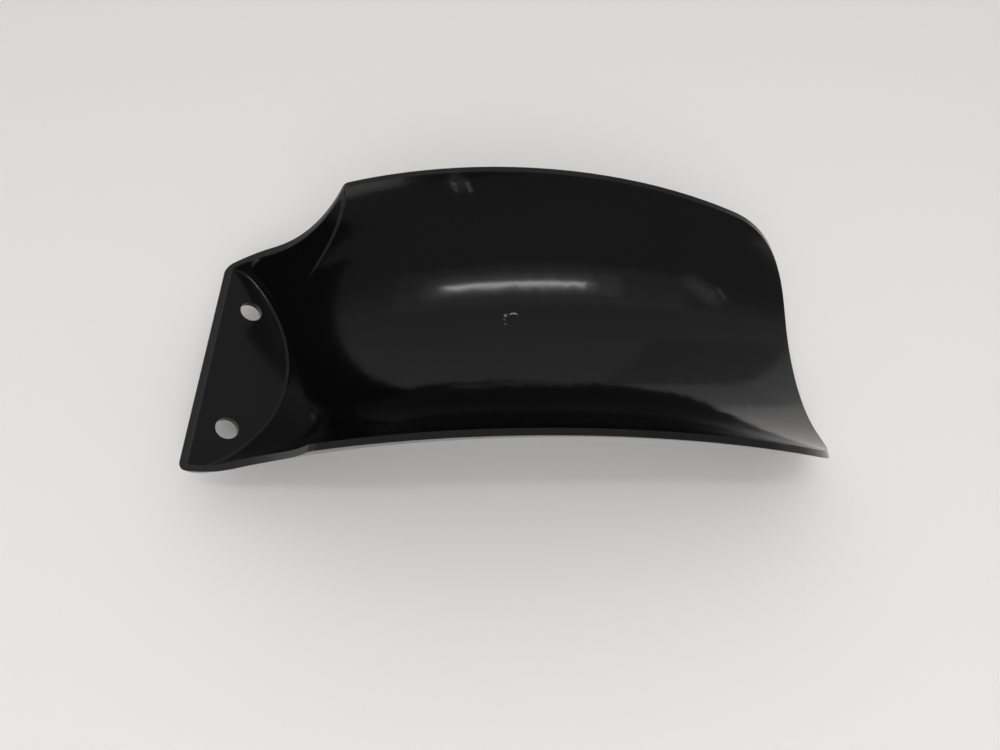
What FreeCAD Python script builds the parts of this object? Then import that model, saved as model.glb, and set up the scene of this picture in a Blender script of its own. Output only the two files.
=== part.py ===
import FreeCAD
import Part
import Sketcher
import math
import os

# Mudguard for the rear shock of a motorcycle: one moulded plastic shell.
# A trough of round section is bent along its length like a saddle, and a sloping plate with two
# bolt holes closes one end.  One curve, seen from the side, trims every rim: low round the plate,
# a sweep up to the step, a long arch, and a rounded tail.
# X runs from the bolt end to the tail, Y across, Z up.  The shell stands on its plate fold and on
# the foot of its tail, both at Z = 0.

doc = FreeCAD.newDocument("mudguard")

# Driving sizes, in millimetres and degrees.
driving = [
    ("body_length", 247.0),
    ("rim_height", 67.2),
    ("wall", 2.5),
    ("bottom_radius", 63.5),
    ("wall_lean", 20.0),
    ("saddle_radius", 244.5),
    ("plate_run", 29.5),
    ("plate_slope", 33.0),
    ("fold_radius", 1.5),
    ("neck_width", 97.0),
    ("neck_flare", 20.0),
    ("cheek_radius", 15.0),
    ("neck_rise", 20.5),
    ("sweep_radius", 70.0),
    ("step_position", 59.5),
    ("step_radius", 5.0),
    ("arch_radius", 233.0),
    ("arch_position", 123.2),
    ("tail_radius", 48.0),
    ("tail_lean", 8.7),
    ("hole_diameter", 9.0),
    ("hole_spacing", 56.7),
    ("hole_setback", 12.0),
    ("blank_margin", 10.0),
]
sheet = doc.addObject("Spreadsheet::Sheet", "sizes")
for row, (alias, value) in enumerate(driving, start=1):
    sheet.set("A%d" % row, alias)
    sheet.set("B%d" % row, str(value))
    sheet.setAlias("B%d" % row, alias)
doc.recompute()
size = dict(driving)

body = doc.addObject("PartDesign::Body", "Shell")
body.Label = "mudguard_shell"
planes = {plane.Role: plane for plane in body.Origin.OriginFeatures}


def point(x, y):
    return FreeCAD.Vector(x, y, 0)


def new_sketch(name, support):
    sketch = body.newObject("Sketcher::SketchObject", name)
    sketch.AttachmentSupport = support
    sketch.MapMode = "FlatFace"
    return sketch


def line(sketch, start, end):
    return sketch.addGeometry(Part.LineSegment(point(*start), point(*end)))


def arc(sketch, centre, radius, start_deg, end_deg):
    circle = Part.Circle(point(*centre), FreeCAD.Vector(0, 0, 1), radius)
    return sketch.addGeometry(Part.ArcOfCircle(circle, math.radians(start_deg), math.radians(end_deg)))


def rule(sketch, kind, *references):
    return sketch.addConstraint(Sketcher.Constraint(kind, *references))


def dimension(sketch, name, formula, kind, *references):
    index = rule(sketch, kind, *references)
    sketch.renameConstraint(index, name)
    sketch.setExpression("Constraints." + name, formula)


def sine(name):
    return math.sin(math.radians(size[name]))


def cosine(name):
    return math.cos(math.radians(size[name]))


def tangent(name):
    return math.tan(math.radians(size[name]))


def start(item):
    return item, 1


def end(item):
    return item, 2


def centre(item):
    return item, 3


def reference(name):
    # The references every sketch has, and the first edge it takes from the solid.
    return {"level axis": -1, "upright axis": -2, "solid's edge": -3}[name]


ORIGIN = start(reference("level axis"))
margin = size["blank_margin"]

# The bottom's saddle curve: an arc that stands on the floor at the plate fold and at the tail's foot.
saddle_radius = size["saddle_radius"]
half_span = (size["body_length"] - size["plate_run"]) / 2
axis_depth = math.sqrt(saddle_radius ** 2 - half_span ** 2)
axis_depth_formula = "sqrt(sizes.saddle_radius ^ 2 - ((sizes.body_length - sizes.plate_run) / 2) ^ 2)"

# Section of the trough, drawn from the saddle's axis: a round bottom that runs into walls leaning outwards.
bottom_radius = size["bottom_radius"]
bottom_centre = saddle_radius + bottom_radius
top = axis_depth + size["rim_height"] + 2 * margin
foot_y = bottom_radius * cosine("wall_lean")
foot_z = bottom_centre - bottom_radius * sine("wall_lean")
half_top = foot_y + (top - foot_z) * tangent("wall_lean")

section = new_sketch("TroughSection", [(planes["YZ_Plane"], "")])
section.setExpression("AttachmentOffset.Base.y", "-" + axis_depth_formula)
section.setExpression("AttachmentOffset.Base.z", "sizes.plate_run / 2")
bottom = arc(section, (0, bottom_centre), bottom_radius, 180 + size["wall_lean"], 360 - size["wall_lean"])
right_wall = line(section, (foot_y, foot_z), (half_top, top))
mouth = line(section, (half_top, top), (-half_top, top))
left_wall = line(section, (-half_top, top), (-foot_y, foot_z))
rule(section, "Tangent", *end(bottom), *start(right_wall))
rule(section, "Coincident", *end(right_wall), *start(mouth))
rule(section, "Coincident", *end(mouth), *start(left_wall))
rule(section, "Tangent", *end(left_wall), *start(bottom))
rule(section, "PointOnObject", *centre(bottom), reference("upright axis"))
rule(section, "Symmetric", *start(mouth), *end(mouth), reference("upright axis"))
dimension(section, "bottom_radius", "sizes.bottom_radius", "Radius", bottom, bottom_radius)
dimension(section, "bottom_at", "sizes.saddle_radius + sizes.bottom_radius",
          "DistanceY", *ORIGIN, *centre(bottom), bottom_centre)
dimension(section, "top_at", axis_depth_formula + " + sizes.rim_height + 2 * sizes.blank_margin",
          "DistanceY", *ORIGIN, *start(mouth), top)
dimension(section, "wall_angle", "90 deg - sizes.wall_lean * 1 deg",
          "Angle", right_wall, math.radians(90 - size["wall_lean"]))

blank = body.newObject("PartDesign::Revolution", "Blank")
blank.Profile = section
blank.ReferenceAxis = (section, ["H_Axis"])
blank.Midplane = True
blank.setExpression("Angle", "2 * asin(((sizes.body_length + sizes.plate_run) / 2 + sizes.blank_margin)"
                    " / sizes.saddle_radius)")
doc.recompute()

# Outside of the bolt plate: a plane that slopes down from the neck's rim to the fold on the floor.
neck_end = -size["body_length"] / 2
tail_end = size["body_length"] / 2
fold_x = neck_end + size["plate_run"]
clear = 8 * margin
below = 4 * margin
clear_left = neck_end - clear
clear_right = tail_end + 2 * clear
slope_top = (clear_left, (fold_x - clear_left) * tangent("plate_slope"))
slope_low = (fold_x + below / tangent("plate_slope"), -below)

ramp = new_sketch("PlateSlope", [(planes["XZ_Plane"], "")])
slope_line = line(ramp, slope_top, slope_low)
under_line = line(ramp, slope_low, (clear_left, -below))
end_line = line(ramp, (clear_left, -below), slope_top)
rule(ramp, "Coincident", *end(slope_line), *start(under_line))
rule(ramp, "Coincident", *end(under_line), *start(end_line))
rule(ramp, "Coincident", *end(end_line), *start(slope_line))
rule(ramp, "Horizontal", under_line)
rule(ramp, "Vertical", end_line)
dimension(ramp, "left_at", "sizes.body_length / 2 + 8 * sizes.blank_margin",
          "DistanceX", *start(slope_line), *ORIGIN, -clear_left)
dimension(ramp, "top_at", "(sizes.plate_run + 8 * sizes.blank_margin) * tan(sizes.plate_slope * 1 deg)",
          "DistanceY", *ORIGIN, *start(slope_line), slope_top[1])
dimension(ramp, "below_floor", "4 * sizes.blank_margin", "DistanceY", *end(slope_line), *ORIGIN, below)
dimension(ramp, "low_at", "sizes.plate_run + 8 * sizes.blank_margin"
          " + 4 * sizes.blank_margin / tan(sizes.plate_slope * 1 deg)",
          "DistanceX", *end(under_line), *end(slope_line), slope_low[0] - clear_left)

ramp_cut = body.newObject("PartDesign::Pocket", "PlateSlopeCut")
ramp_cut.Profile = ramp
ramp_cut.Type = "ThroughAll"
ramp_cut.Midplane = True
doc.recompute()

# The neck's corners are drawn in: beside the bolt end an upright cheek flares out to the trough's wall.
half_neck = size["neck_width"] / 2
wide = size["bottom_radius"] + 4 * margin
cheek_start = half_neck - clear * tangent("neck_flare")
cheek_end = neck_end + (wide - half_neck) / tangent("neck_flare")

cheek = new_sketch("NeckCheek", [(planes["XY_Plane"], "")])
flare_line = line(cheek, (clear_left, cheek_start), (cheek_end, wide))
wide_line = line(cheek, (cheek_end, wide), (clear_left, wide))
close_line = line(cheek, (clear_left, wide), (clear_left, cheek_start))
rule(cheek, "Coincident", *end(flare_line), *start(wide_line))
rule(cheek, "Coincident", *end(wide_line), *start(close_line))
rule(cheek, "Coincident", *end(close_line), *start(flare_line))
rule(cheek, "Horizontal", wide_line)
rule(cheek, "Vertical", close_line)
dimension(cheek, "wide_at", "sizes.bottom_radius + 4 * sizes.blank_margin",
          "DistanceY", *ORIGIN, *start(close_line), wide)
dimension(cheek, "flare_height", "sizes.bottom_radius + 4 * sizes.blank_margin - sizes.neck_width / 2"
          " + 8 * sizes.blank_margin * tan(sizes.neck_flare * 1 deg)",
          "DistanceY", *start(flare_line), *end(flare_line), wide - cheek_start)
dimension(cheek, "left_at", "sizes.body_length / 2 + 8 * sizes.blank_margin",
          "DistanceX", *start(flare_line), *ORIGIN, -clear_left)
dimension(cheek, "flare_length", "8 * sizes.blank_margin + (sizes.bottom_radius + 4 * sizes.blank_margin"
          " - sizes.neck_width / 2) / tan(sizes.neck_flare * 1 deg)",
          "DistanceX", *start(flare_line), *end(flare_line), cheek_end - clear_left)

cheek_cut = body.newObject("PartDesign::Pocket", "NeckCheekCut")
cheek_cut.Profile = cheek
cheek_cut.Type = "ThroughAll"
cheek_cut.Midplane = True
doc.recompute()

cheek_pair = body.newObject("PartDesign::Mirrored", "NeckCheekPair")
cheek_pair.Originals = [cheek_cut]
cheek_pair.MirrorPlane = (planes["XZ_Plane"], [""])
body.Tip = cheek_pair
doc.recompute()


def flat_faces(shape, direction, least=0.9999):
    found = []
    for index, face in enumerate(shape.Faces, start=1):
        if isinstance(face.Surface, Part.Plane) and face.normalAt(0, 0).dot(direction) > least:
            found.append(index)
    return found


def edge_names(shape, edges):
    return ["Edge%d" % (index + 1) for index, edge in enumerate(shape.Edges)
            if any(edge.isSame(other) for other in edges)]


# Each cheek runs in a round into the trough's bottom and wall.
trough_edges = [edge for face in cheek_pair.Shape.Faces if isinstance(face.Surface, (Part.Toroid, Part.Cone))
                for edge in face.Edges]
cheek_edges = [edge for side in (1, -1)
               for index in flat_faces(cheek_pair.Shape,
                                       FreeCAD.Vector(-sine("neck_flare"), side * cosine("neck_flare"), 0))
               for edge in cheek_pair.Shape.Faces[index - 1].Edges
               if any(edge.isSame(other) for other in trough_edges)]
cheek_round = body.newObject("PartDesign::Fillet", "CheekRound")
cheek_round.Base = (cheek_pair, edge_names(cheek_pair.Shape, cheek_edges))
cheek_round.setExpression("Radius", "sizes.cheek_radius")
doc.recompute()

# Hollow shell, open at the mouth and at the tail.
mouth_faces = [index for index, face in enumerate(cheek_round.Shape.Faces, start=1)
               if isinstance(face.Surface, Part.Cylinder) and face.Surface.Radius > saddle_radius]
tail_faces = flat_faces(cheek_round.Shape, FreeCAD.Vector(1, 0, 0), 0.5)
shell = body.newObject("PartDesign::Thickness", "Hollow")
shell.Base = (cheek_round, ["Face%d" % index for index in mouth_faces + tail_faces])
shell.setExpression("Value", "sizes.wall")
shell.Reversed = True
doc.recompute()

# The fold where the plate runs into the bottom and the cheeks, rounded on both sides to keep the wall even.
plate_outward = FreeCAD.Vector(-sine("plate_slope"), 0, -cosine("plate_slope"))
plate_inward = plate_outward.negative()


def fold_edges(shape, direction):
    plate_face = shape.Faces[flat_faces(shape, direction)[0] - 1]
    return edge_names(shape, [edge for edge in plate_face.Edges if edge.BoundBox.XMax > neck_end])


outer_fold = body.newObject("PartDesign::Fillet", "OuterFold")
outer_fold.Base = (shell, fold_edges(shell.Shape, plate_outward))
outer_fold.setExpression("Radius", "sizes.fold_radius + sizes.wall")
doc.recompute()

inner_fold = body.newObject("PartDesign::Fillet", "InnerFold")
inner_fold.Base = (outer_fold, fold_edges(outer_fold.Shape, plate_inward))
inner_fold.setExpression("Radius", "sizes.fold_radius")
doc.recompute()

# Rim, seen from the side.  The neck line passes the top of the plate and turns through the sweep up to the
# step; the step rounds over into the arch, and the arch into the tail.
arch_radius = size["arch_radius"]
arch_centre = (neck_end + size["arch_position"], size["rim_height"] - arch_radius)
neck_height = size["plate_run"] * tangent("plate_slope")


def bearing(centre, target):
    return math.degrees(math.atan2(target[1] - centre[1], target[0] - centre[0]))


def arch_touch(centre, radius):
    # Where a round of this radius, lying inside the arch, touches it.
    scale = arch_radius / (arch_radius - radius)
    return tuple(middle + scale * (own - middle) for own, middle in zip(centre, arch_centre))


# The step's round touches the arch from below.
step_x = neck_end + size["step_position"]
step_z = arch_centre[1] + math.sqrt((arch_radius - size["step_radius"]) ** 2 - (step_x - arch_centre[0]) ** 2)
step_centre = (step_x, step_z)
arch_start = arch_touch(step_centre, size["step_radius"])

# The tail's round touches the arch and the tail line, which leans outwards down to the tail's foot.
inset_x = tail_end - size["tail_radius"] * cosine("tail_lean") - arch_centre[0]
inset_z = -size["tail_radius"] * sine("tail_lean") - arch_centre[1]
along = inset_z * cosine("tail_lean") - inset_x * sine("tail_lean")
reach = (arch_radius - size["tail_radius"]) ** 2 - inset_x ** 2 - inset_z ** 2
climb = math.sqrt(along ** 2 + reach) - along
tail_top = (tail_end - climb * sine("tail_lean"), climb * cosine("tail_lean"))
tail_centre = (tail_top[0] - size["tail_radius"] * cosine("tail_lean"),
               tail_top[1] - size["tail_radius"] * sine("tail_lean"))
arch_end = arch_touch(tail_centre, size["tail_radius"])
tail_low = (tail_end + below * tangent("tail_lean"), -below)

# The sweep touches the neck line from above and the step's round from the left.
sweep_radius = size["sweep_radius"]
along_neck = size["step_position"] * cosine("neck_rise") + (step_z - neck_height) * sine("neck_rise")
above_neck = (step_z - neck_height) * cosine("neck_rise") - size["step_position"] * sine("neck_rise")
join = sweep_radius + size["step_radius"]
sweep_along = along_neck - math.sqrt(join ** 2 - (above_neck - sweep_radius) ** 2)
sweep_start = (neck_end + sweep_along * cosine("neck_rise"), neck_height + sweep_along * sine("neck_rise"))
sweep_centre = (sweep_start[0] - sweep_radius * sine("neck_rise"),
                sweep_start[1] + sweep_radius * cosine("neck_rise"))
neck_start = (clear_left, neck_height - clear * tangent("neck_rise"))
clear_top = size["rim_height"] + clear

rim = new_sketch("RimProfile", [(planes["XZ_Plane"], "")])
neck_line = line(rim, neck_start, sweep_start)
sweep_close = bearing(sweep_centre, step_centre)
sweep = arc(rim, sweep_centre, sweep_radius, bearing(sweep_centre, sweep_start), sweep_close)
step = arc(rim, step_centre, size["step_radius"], bearing(step_centre, arch_start), sweep_close + 180)
arch = arc(rim, arch_centre, arch_radius, bearing(arch_centre, arch_end), bearing(arch_centre, arch_start))
tail_round = arc(rim, tail_centre, size["tail_radius"], size["tail_lean"], bearing(tail_centre, arch_end))
tail_line = line(rim, tail_low, tail_top)
low_line = line(rim, tail_low, (clear_right, -below))
right_line = line(rim, (clear_right, -below), (clear_right, clear_top))
high_line = line(rim, (clear_right, clear_top), (clear_left, clear_top))
left_line = line(rim, (clear_left, clear_top), neck_start)
rule(rim, "Tangent", *end(neck_line), *start(sweep))
rule(rim, "Tangent", *end(sweep), *end(step))
rule(rim, "Tangent", *start(step), *end(arch))
rule(rim, "Tangent", *start(arch), *end(tail_round))
rule(rim, "Tangent", *start(tail_round), *end(tail_line))
rule(rim, "Coincident", *start(tail_line), *start(low_line))
for before, after in ((low_line, right_line), (right_line, high_line), (high_line, left_line),
                      (left_line, neck_line)):
    rule(rim, "Coincident", *end(before), *start(after))
for upright in (right_line, left_line):
    rule(rim, "Vertical", upright)
for level in (low_line, high_line):
    rule(rim, "Horizontal", level)
dimension(rim, "left_at", "sizes.body_length / 2 + 8 * sizes.blank_margin",
          "DistanceX", *start(neck_line), *ORIGIN, -clear_left)
dimension(rim, "neck_below_arch", "sizes.rim_height - sizes.plate_run * tan(sizes.plate_slope * 1 deg)"
          " + 8 * sizes.blank_margin * (1 + tan(sizes.neck_rise * 1 deg))",
          "DistanceY", *start(neck_line), *start(left_line), clear_top - neck_start[1])
dimension(rim, "neck_rise", "sizes.neck_rise * 1 deg", "Angle", neck_line, math.radians(size["neck_rise"]))
dimension(rim, "sweep_radius", "sizes.sweep_radius", "Radius", sweep, sweep_radius)
dimension(rim, "step_at", "sizes.step_position + 8 * sizes.blank_margin",
          "DistanceX", *start(neck_line), *centre(step), step_x - clear_left)
dimension(rim, "step_radius", "sizes.step_radius", "Radius", step, size["step_radius"])
dimension(rim, "arch_radius", "sizes.arch_radius", "Radius", arch, arch_radius)
dimension(rim, "arch_at", "sizes.arch_position + 8 * sizes.blank_margin",
          "DistanceX", *start(neck_line), *centre(arch), arch_centre[0] - clear_left)
dimension(rim, "arch_below", "sizes.arch_radius - sizes.rim_height",
          "DistanceY", *centre(arch), *ORIGIN, -arch_centre[1])
dimension(rim, "tail_radius", "sizes.tail_radius", "Radius", tail_round, size["tail_radius"])
dimension(rim, "tail_lean", "90 deg + sizes.tail_lean * 1 deg",
          "Angle", tail_line, math.radians(90 + size["tail_lean"]))
dimension(rim, "tail_at", "sizes.body_length / 2 + 4 * sizes.blank_margin * tan(sizes.tail_lean * 1 deg)",
          "DistanceX", *ORIGIN, *start(tail_line), tail_low[0])
dimension(rim, "below_floor", "4 * sizes.blank_margin", "DistanceY", *start(tail_line), *ORIGIN, below)
dimension(rim, "right_at", "sizes.body_length / 2 + 16 * sizes.blank_margin",
          "DistanceX", *ORIGIN, *start(right_line), clear_right)
dimension(rim, "top_at", "sizes.rim_height + 8 * sizes.blank_margin",
          "DistanceY", *ORIGIN, *start(high_line), clear_top)

rim_cut = body.newObject("PartDesign::Pocket", "RimCut")
rim_cut.Profile = rim
rim_cut.Type = "ThroughAll"
rim_cut.Midplane = True
doc.recompute()

# Two bolt holes square to the plate, measured from the plate's inner rim edge and level across it.
inner_plate = flat_faces(rim_cut.Shape, plate_inward)[0]
plate_edges = rim_cut.Shape.Faces[inner_plate - 1].Edges
rim_edge = min(plate_edges, key=lambda edge: edge.CenterOfMass.x)
bolts = new_sketch("BoltHoles", [(rim_cut, "Face%d" % inner_plate)])
doc.recompute()
bolts.addExternal(rim_cut.Name, edge_names(rim_cut.Shape, [rim_edge])[0])
across = bolts.Placement.inverse().multVec(rim_edge.CenterOfMass)
hole_x = across.x + size["hole_setback"]
half_spacing = size["hole_spacing"] / 2
near_hole, far_hole = [
    bolts.addGeometry(Part.Circle(point(hole_x, y), FreeCAD.Vector(0, 0, 1), size["hole_diameter"] / 2))
    for y in (-half_spacing, half_spacing)]
rule(bolts, "Symmetric", *centre(near_hole), *centre(far_hole), reference("level axis"))
rule(bolts, "Equal", near_hole, far_hole)
dimension(bolts, "hole_spacing", "sizes.hole_spacing",
          "DistanceY", *centre(near_hole), *centre(far_hole), size["hole_spacing"])
dimension(bolts, "hole_setback", "sizes.hole_setback",
          "DistanceX", *start(reference("solid's edge")), *centre(near_hole), size["hole_setback"])
dimension(bolts, "hole_diameter", "sizes.hole_diameter", "Diameter", near_hole, size["hole_diameter"])
doc.recompute()

hole_cut = body.newObject("PartDesign::Hole", "BoltHoleCut")
hole_cut.Profile = bolts
hole_cut.Threaded = False
hole_cut.DepthType = "ThroughAll"
hole_cut.setExpression("Diameter", "sizes.hole_diameter")
doc.recompute()

for item in doc.Objects:
    if "Invalid" in item.State or "Error" in item.State:
        raise RuntimeError(item.Name + " did not build: " + ", ".join(item.State))
for sketch in (section, ramp, cheek, rim, bolts):
    if not sketch.FullyConstrained:
        raise RuntimeError(sketch.Name + " is not fully constrained")
features = [blank, ramp_cut, cheek_cut, cheek_pair, cheek_round, shell, outer_fold, inner_fold, rim_cut,
            hole_cut]
for before, after in zip(features, features[1:]):
    if math.isclose(after.Shape.Volume, before.Shape.Volume, rel_tol=1e-6):
        raise RuntimeError(after.Name + " changed nothing")
if body.Shape.isNull() or not body.Shape.isValid() or len(body.Shape.Solids) != 1:
    raise RuntimeError("the shell is not one sound solid")

os.makedirs("parts", exist_ok=True)
body.Shape.exportStep(os.path.join("parts", body.Label + ".step"))
print(body.Label, round(body.Shape.Volume), "mm3", body.Shape.optimalBoundingBox())
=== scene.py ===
import math

import bpy
from mathutils import Matrix, Vector


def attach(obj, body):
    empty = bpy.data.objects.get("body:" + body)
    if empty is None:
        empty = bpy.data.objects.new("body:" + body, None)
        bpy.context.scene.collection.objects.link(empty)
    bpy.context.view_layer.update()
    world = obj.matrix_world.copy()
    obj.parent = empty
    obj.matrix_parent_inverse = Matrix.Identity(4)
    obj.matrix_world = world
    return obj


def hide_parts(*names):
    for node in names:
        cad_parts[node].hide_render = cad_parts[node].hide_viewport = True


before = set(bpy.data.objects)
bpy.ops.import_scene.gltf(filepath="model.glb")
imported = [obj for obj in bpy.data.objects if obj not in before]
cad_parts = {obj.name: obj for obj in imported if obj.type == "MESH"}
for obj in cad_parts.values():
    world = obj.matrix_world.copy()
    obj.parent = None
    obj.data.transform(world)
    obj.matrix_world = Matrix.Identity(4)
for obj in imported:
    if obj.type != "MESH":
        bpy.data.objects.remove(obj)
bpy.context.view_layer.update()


# Shell of the guard: one piece of black plastic, injection moulded in a polished tool.  Its edges
# are slightly rounded where the two halves of the tool met.  It is the only piece, and it is held
# on the motorcycle by bolts through the plate.

WELD = 0.00002
EDGE_ROUND = 0.0008
EDGE_ROUND_STEPS = 3
FOLD_ANGLE = math.radians(40)


def open_mesh(piece):
    bpy.ops.object.select_all(action="DESELECT")
    piece.select_set(True)
    bpy.context.view_layer.objects.active = piece
    bpy.ops.object.mode_set(mode="EDIT")
    bpy.ops.mesh.select_mode(type="FACE")
    bpy.ops.mesh.select_all(action="SELECT")


def apply(piece, name, kind, **settings):
    modifier = piece.modifiers.new(name, kind)
    for setting, value in settings.items():
        setattr(modifier, setting, value)
    bpy.ops.object.modifier_apply(modifier=modifier.name)


shell = bpy.data.objects.new("shell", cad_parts["mudguard_shell"].data.copy())
bpy.context.scene.collection.objects.link(shell)
open_mesh(shell)
bpy.ops.mesh.remove_doubles(threshold=WELD)
bpy.ops.object.mode_set(mode="OBJECT")
plain_mesh = shell.data.copy()
apply(shell, "rounded edges", "BEVEL", width=EDGE_ROUND, segments=EDGE_ROUND_STEPS,
      limit_method="ANGLE", angle_limit=FOLD_ANGLE)
bpy.ops.object.shade_smooth_by_angle(angle=FOLD_ANGLE)
apply(shell, "even shading", "WEIGHTED_NORMAL", keep_sharp=True)

# A hairline down the neck's far wall, left by the joint of two blocks of the tool.  It is the
# line where a plane cuts the wall's inside, between a lowest and a highest corner.
HAIRLINE_RADIUS = 0.00032
HAIRLINE_POINT = Vector((-0.0736, 0.0495, 0.0387))
HAIRLINE_PLANE = Vector((0.362, -0.892, 0.269))
HAIRLINE_LOW = Vector((-0.0865, 0.0395, 0.0225))
HAIRLINE_HIGH = Vector((-0.0645, 0.0620, 0.0600))
HAIRLINE_STEP = 0.0004
FACING_IN = -0.2


def on_far_wall(face):
    inside = all(low < value < high
                 for low, value, high in zip(HAIRLINE_LOW, face.center, HAIRLINE_HIGH))
    return inside and face.normal.y < FACING_IN


hairline = bpy.data.objects.new("hairline", plain_mesh)
bpy.context.scene.collection.objects.link(hairline)
open_mesh(hairline)
bpy.ops.mesh.select_all(action="DESELECT")
bpy.ops.object.mode_set(mode="OBJECT")
for face in plain_mesh.polygons:
    face.select = not on_far_wall(face)
bpy.ops.object.mode_set(mode="EDIT")
bpy.ops.mesh.delete(type="FACE")
bpy.ops.mesh.select_all(action="SELECT")
bpy.ops.mesh.bisect(plane_co=HAIRLINE_POINT, plane_no=HAIRLINE_PLANE, clear_inner=True, clear_outer=True)
bpy.ops.mesh.select_all(action="SELECT")
bpy.ops.mesh.remove_doubles(threshold=HAIRLINE_STEP)
bpy.ops.object.mode_set(mode="OBJECT")
bpy.ops.object.convert(target="CURVE")
hairline.data.bevel_depth = HAIRLINE_RADIUS
hairline.data.bevel_resolution = 1
hairline.data.use_fill_caps = True
bpy.ops.object.convert(target="MESH")
bpy.ops.object.shade_smooth()
shell.select_set(True)
bpy.context.view_layer.objects.active = shell
bpy.ops.object.join()
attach(shell, "root")
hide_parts("mudguard_shell")


class Signal:
    # A value that changes over the surface.  Sums and products of signals add Math nodes.
    def __init__(self, tree, socket=None):
        self.tree = tree
        self.socket = socket

    def add(self, kind, settings, values, output=0):
        node = self.tree.nodes.new(kind)
        for name, value in settings.items():
            setattr(node, name, value)
        for name, value in values.items():
            if isinstance(value, Signal):
                self.tree.links.new(value.socket, node.inputs[name])
            else:
                node.inputs[name].default_value = value
        return Signal(self.tree, node.outputs[output])

    def math(self, operation, first, second=0.0):
        return self.add("ShaderNodeMath", {"operation": operation}, {0: first, 1: second})

    def __add__(self, other):
        return self.math("ADD", self, other)

    def __sub__(self, other):
        return self.math("SUBTRACT", self, other)

    def __rsub__(self, other):
        return self.math("SUBTRACT", other, self)

    def __mul__(self, other):
        return self.math("MULTIPLY", self, other)

    def __abs__(self):
        return self.math("ABSOLUTE", self)

    __radd__ = __add__
    __rmul__ = __mul__

    def fade(self, full, none):
        # 1 up to the first value, then smoothly down to 0 at the second.
        return self.add("ShaderNodeMapRange", {"interpolation_type": "SMOOTHSTEP"},
                        {"Value": self, "From Min": full, "From Max": none, "To Min": 1.0, "To Max": 0.0})

    def noise(self, scale, detail):
        return self.add("ShaderNodeTexNoise", {}, {"Vector": self, "Scale": scale, "Detail": detail})

    def distance(self, place):
        return self.add("ShaderNodeVectorMath", {"operation": "DISTANCE"}, {0: self, 1: place}, "Value")

    def along(self, place, direction):
        # How far the surface lies from a place, measured along a direction.
        offset = self.add("ShaderNodeVectorMath", {"operation": "SUBTRACT"}, {0: self, 1: place})
        return self.add("ShaderNodeVectorMath", {"operation": "DOT_PRODUCT"},
                        {0: offset, 1: direction}, "Value")

    def from_axis(self, place, direction):
        # How far the surface lies from a straight line.
        from_place = self.distance(place)
        down_it = self.along(place, direction)
        return self.math("SQRT", self.math("MAXIMUM", from_place * from_place - down_it * down_it, 0.0))

    def streak(self, begin, finish, width):
        # A rubbed streak: fullest along the middle of the line between two points.
        run = finish - begin
        middle = (begin + finish) / 2
        half_length = run.length / 2
        off_it = self.from_axis(middle, run.normalized())
        down_it = abs(self.along(middle, run.normalized()))
        return off_it.fade(0.0, width) * down_it.fade(0.3 * half_length, half_length)


# The plastic: a black gloss with an uneven polish and a slight orange peel.
BLACK = (0.0022, 0.0022, 0.0025, 1)
WEAR_AND_SHEEN_GREY = (0.20, 0.20, 0.21, 1)
POLISH = 0.095
CLOUD_SCALE, CLOUD_DETAIL = 22.0, 3.0
PEEL_SCALE, PEEL_DETAIL = 170.0, 2.0
RUBBING_SCALE, RUBBING_DETAIL = 900.0, 3.0
black_plastic = bpy.data.materials.new("black_plastic")
black_plastic.use_nodes = True
tree = black_plastic.node_tree
skin = tree.nodes["Principled BSDF"]
surface = Signal(tree).add("ShaderNodeTexCoord", {}, {}, "Object")
clouds = surface.noise(CLOUD_SCALE, CLOUD_DETAIL)
peel = surface.noise(PEEL_SCALE, PEEL_DETAIL)
rubbing = surface.noise(RUBBING_SCALE, RUBBING_DETAIL)

# Two short rubs in a faint haze under the far rim, and a hazy patch near the tail.  A row gives a
# streak's two ends, its width and its strength.
RIM_RUBS = (((-0.0239, 0.0563, 0.0632), (-0.0211, 0.0542, 0.0581), 0.0017, 1.0),
            ((-0.0183, 0.0563, 0.0638), (-0.0154, 0.0539, 0.0580), 0.0017, 1.0),
            ((-0.0262, 0.0573, 0.0655), (-0.0165, 0.0548, 0.0600), 0.0050, 0.4))
TAIL_HAZE = (((0.0700, 0.0345, 0.0325), (0.0930, 0.0260, 0.0215), 0.0060, 1.0),
             ((0.0876, 0.0331, 0.0272), (0.0932, 0.0275, 0.0224), 0.0014, 1.0))
rubs, haze = (sum(strength * surface.streak(Vector(begin), Vector(finish), width)
                  for begin, finish, width, strength in streaks) for streaks in (RIM_RUBS, TAIL_HAZE))
rubbed = surface.math("MAXIMUM", rubs * (2.6 * rubbing - 0.5), 0.0) + 0.45 * haze * (0.3 + rubbing)

# A painted highlight runs along the hairline's top, on the wall's inside alone: pale grey in the colour
# that stands for light caught by the bead.
HAIRLINE_HIGHLIGHT_WIDTH = (0.0002, 0.0005)
HAIRLINE_HIGHLIGHT_REACH = (0.014, 0.024)
INSIDE_MIDDLE = Vector((-0.1347, 0.0368, 0.0786))
INSIDE_REACH = (0.0755, 0.0770)
painted_hairline_highlight = (abs(surface.along(HAIRLINE_POINT, HAIRLINE_PLANE)).fade(*HAIRLINE_HIGHLIGHT_WIDTH)
                 * surface.distance(HAIRLINE_POINT).fade(*HAIRLINE_HIGHLIGHT_REACH)
                 * surface.distance(INSIDE_MIDDLE).fade(*INSIDE_REACH))
# The rubbed wear and the painted hairline highlight are joined here.
wear_and_hairline_highlight = surface.math("MINIMUM", 0.45 * painted_hairline_highlight + rubbed, 1.0)
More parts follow.
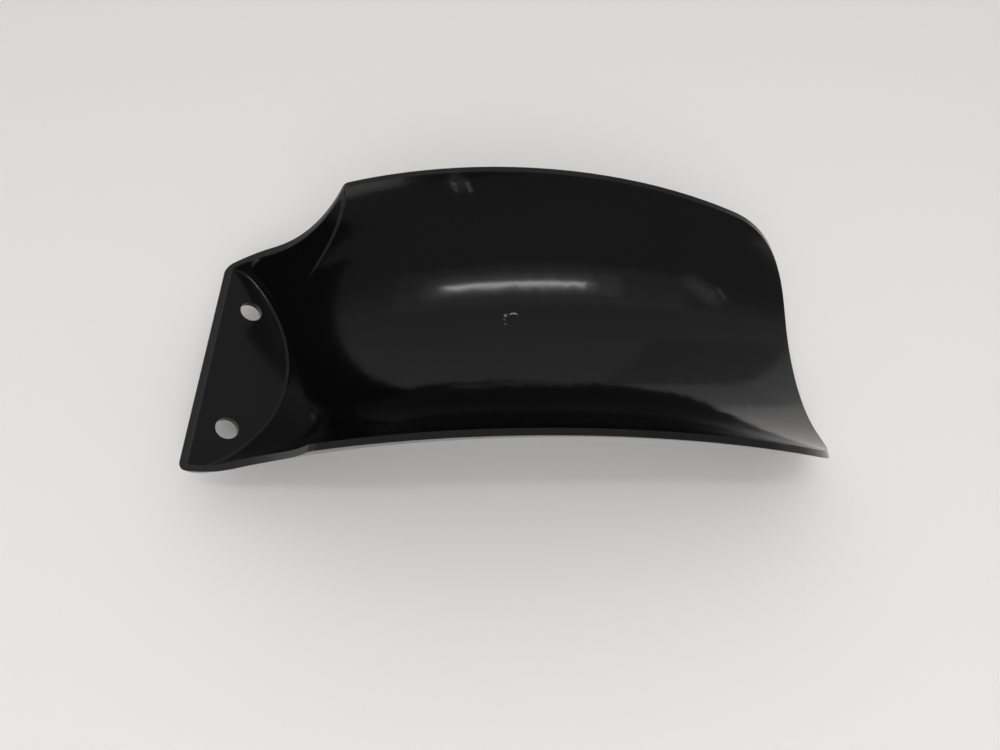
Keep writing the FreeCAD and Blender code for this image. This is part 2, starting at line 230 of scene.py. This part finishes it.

# The rim round the plate and up the neck is matt, where the two halves of the tool met, and a painted
# sheen greys its colour, standing for the light the matt rim catches.  It is straight, then sweeps up in
# a hollow round, and ends in the step's small round.
MATT_DEPTH = (0.0003, 0.0007)
LOW_RIM = Vector((-0.1219, 0.0, 0.0197))
LOW_RIM_FACING = Vector((-0.35, 0.0, 0.937))
LOW_RIM_REACH = (0.019, 0.025)
SWEEP_MIDDLE = Vector((-0.1280, 0.0, 0.0923))
SWEEP_RADIUS = 0.070
STEP_MIDDLE = Vector((-0.06395, 0.0, 0.05315))
STEP_RADIUS = 0.005
STEP_BACK = Vector((0.6, 0.0, -0.8))
STEP_REACH = (-0.0046, -0.0042)
LENGTHWISE = Vector((1, 0, 0))
ACROSS = Vector((0, 1, 0))
low_rim = (abs(surface.along(LOW_RIM, LOW_RIM_FACING)).fade(*MATT_DEPTH)
           * surface.along(LOW_RIM, LENGTHWISE).fade(*LOW_RIM_REACH))
sweep_rim = abs(surface.from_axis(SWEEP_MIDDLE, ACROSS) - SWEEP_RADIUS).fade(*MATT_DEPTH)
step_rim = (abs(surface.from_axis(STEP_MIDDLE, ACROSS) - STEP_RADIUS).fade(*MATT_DEPTH)
            * surface.along(STEP_MIDDLE, STEP_BACK).fade(*STEP_REACH))
matt_rim_and_sheen = surface.math("MAXIMUM", surface.math("MAXIMUM", low_rim, step_rim), sweep_rim)

# The mark where the plastic flowed in: a shallow round, smoother than the rest, torn at one edge.
# A row gives a torn speck's place from the mark's middle, and the radii where it is full and gone.
GATE = Vector((0.0012, 0.0130, 0.0289))
GATE_RADIUS = 0.0030
TORN_SPECKS = (((-0.0032, 0.0021, 0.0003), 0.0002, 0.0009),
               ((-0.0037, 0.0003, 0.0002), 0.0001, 0.0005),
               ((-0.0033, -0.0017, -0.0002), 0.0001, 0.0006))
gate = surface.distance(GATE).fade(0.75 * GATE_RADIUS, 1.15 * GATE_RADIUS)
torn = sum(surface.distance(GATE + Vector(offset)).fade(full, gone) for offset, full, gone in TORN_SPECKS)
specks = surface.math("MINIMUM", torn * (0.2 + rubbing), 1.0)

BUMP_DEPTH = 0.0002
# The grey mixed into the black is partly real, from rubs, haze, torn specks and uneven polish, and partly
# painted light: a painted highlight along the hairline and painted sheen on the matt rim.
wear_and_sheen_greyness = 0.16 * wear_and_hairline_highlight + 0.9 * specks + 0.085 * matt_rim_and_sheen + 0.004 * clouds
colour = surface.add("ShaderNodeMix", {"data_type": "RGBA"},
                     {"Factor": wear_and_sheen_greyness, "A": BLACK, "B": WEAR_AND_SHEEN_GREY}, "Result")
roughness = POLISH + 0.04 * clouds + 0.35 * wear_and_hairline_highlight + 0.2 * specks + 0.3 * matt_rim_and_sheen - 0.03 * gate
height = 0.02 * peel + 0.6 * specks - 0.8 * gate
relief = surface.add("ShaderNodeBump", {},
                     {"Strength": 1.0, "Distance": BUMP_DEPTH, "Height": height}, "Normal")
for socket, signal in (("Base Color", colour), ("Roughness", roughness), ("Normal", relief)):
    tree.links.new(signal.socket, skin.inputs[socket])
shell.data.materials.clear()
shell.data.materials.append(black_plastic)


# Floor, light and camera: a pale sheet of paper, pale light from all round that the gloss doesn't
# mirror, a soft lamp in front, and flat panels overhead and on three sides that the gloss mirrors.

FLOOR_SIZE = 12
PAPER_WHITE = (0.7, 0.69, 0.675, 1)
ROOM_LIGHT = (0.50, 0.495, 0.49, 1)
bpy.ops.object.select_all(action="DESELECT")
bpy.ops.mesh.primitive_plane_add(size=FLOOR_SIZE)
floor = bpy.context.object
floor.name = "floor"
paper = bpy.data.materials.new("paper")
paper.use_nodes = True
sheet = paper.node_tree.nodes["Principled BSDF"]
sheet.inputs["Base Color"].default_value = PAPER_WHITE
sheet.inputs["Roughness"].default_value = 0.9
sheet.inputs["Specular IOR Level"].default_value = 0.1
floor.data.materials.append(paper)

world = bpy.data.worlds.new("studio")
world.use_nodes = True
world.node_tree.nodes["Background"].inputs["Color"].default_value = ROOM_LIGHT
world.cycles_visibility.glossy = False
bpy.context.scene.world = world
bpy.context.scene.view_settings.view_transform = "Standard"


def panel(name, middle, width, depth, facing, glow):
    # A flat lamp that the plastic mirrors; the camera doesn't see it.
    bpy.ops.object.light_add(type="AREA", location=middle)
    lamp = bpy.context.object
    lamp.name = name
    lamp.rotation_euler = Vector(facing).to_track_quat("-Z", "Y").to_euler()
    lamp.data.shape = "RECTANGLE"
    lamp.data.size = width
    lamp.data.size_y = depth
    lamp.data.energy = glow * math.pi * width * depth
    lamp.visible_camera = False
    return lamp


# The ceiling's panels.  A row gives the name, the west, east, south and north sides as they would be
# on a ceiling one metre up, the glow, and how far below the ceiling the panel hangs.
CEILING = 2.0
CEILING_PANELS = (("band_0", -1.12, 2.6, -2.6, -0.45, 0.15, 0.0),
                  ("band_1", -1.12, 2.6, -0.45, -0.25, 0.18, 0.0),
                  ("band_2", -1.12, 2.6, -0.25, -0.05, 0.23, 0.0),
                  ("band_3", -1.12, 2.6, -0.05, 0.2, 0.28, 0.0),
                  ("band_4", -1.12, 2.6, 0.2, 0.5, 0.31, 0.0),
                  ("back", -1.12, 0.64, 0.5, 2.4, 0.34, 0.0),
                  ("north_east", 0.64, 2.6, 0.5, 2.4, 0.25, 0.0),
                  ("front_west", -1.5, -1.12, -2.6, -1.2, 0.15, 0.0),
                  ("strip", -0.36, 0.27, -0.26, -0.20, 6.5, 0.04),
                  ("halo", -0.38, 0.29, -0.30, -0.16, 0.9, 0.03),
                  ("wide_halo", -0.48, 0.45, -0.38, -0.08, 0.22, 0.02),
                  ("faint_halo", -0.65, 0.85, -0.50, 0.02, 0.08, 0.01))
for name, west, east, south, north, glow, drop in CEILING_PANELS:
    middle = Vector(((west + east) / 2, (south + north) / 2, 1.0)) * CEILING - Vector((0, 0, drop))
    panel(name, middle, (east - west) * CEILING, (north - south) * CEILING, (0, 0, -1), glow)
panel("front_wall", (1.15, -5.2, 1.0), 8.1, 2.0, (0, 1, 0), 0.15)
panel("east_wall", (5.2, -0.2, 1.0), 10.0, 2.0, (-1, 0, 0), 0.5)
panel("north_wall", (1.8, 4.8, 1.0), 6.8, 2.0, (0, -1, 0), 0.45)
front_lamp = panel("front_lamp", (0.0, -0.9, 0.8), 1.0, 0.6, (0, 0.75, -0.66), 3.6)
front_lamp.visible_glossy = False

# The camera's own directions, and how far the middle of the guard's floor lies along each.
RIGHT = Vector((0.999667, -0.012252, 0.022597))
DOWN = Vector((0.001733, -0.845031, -0.534713))
AHEAD = Vector((0.025651, 0.534573, -0.844726))
TO_RIGHT, TO_DOWN, TO_AHEAD = 0.003775, 0.004208, 0.321075
camera_data = bpy.data.cameras.new("camera")
camera_data.lens = 27
camera_data.sensor_width = 36
camera = bpy.data.objects.new("camera", camera_data)
bpy.context.scene.collection.objects.link(camera)
place = -(RIGHT * TO_RIGHT + DOWN * TO_DOWN + AHEAD * TO_AHEAD)
camera.matrix_world = Matrix.Translation(place) @ Matrix((RIGHT, -DOWN, -AHEAD)).transposed().to_4x4()
bpy.context.scene.camera = camera
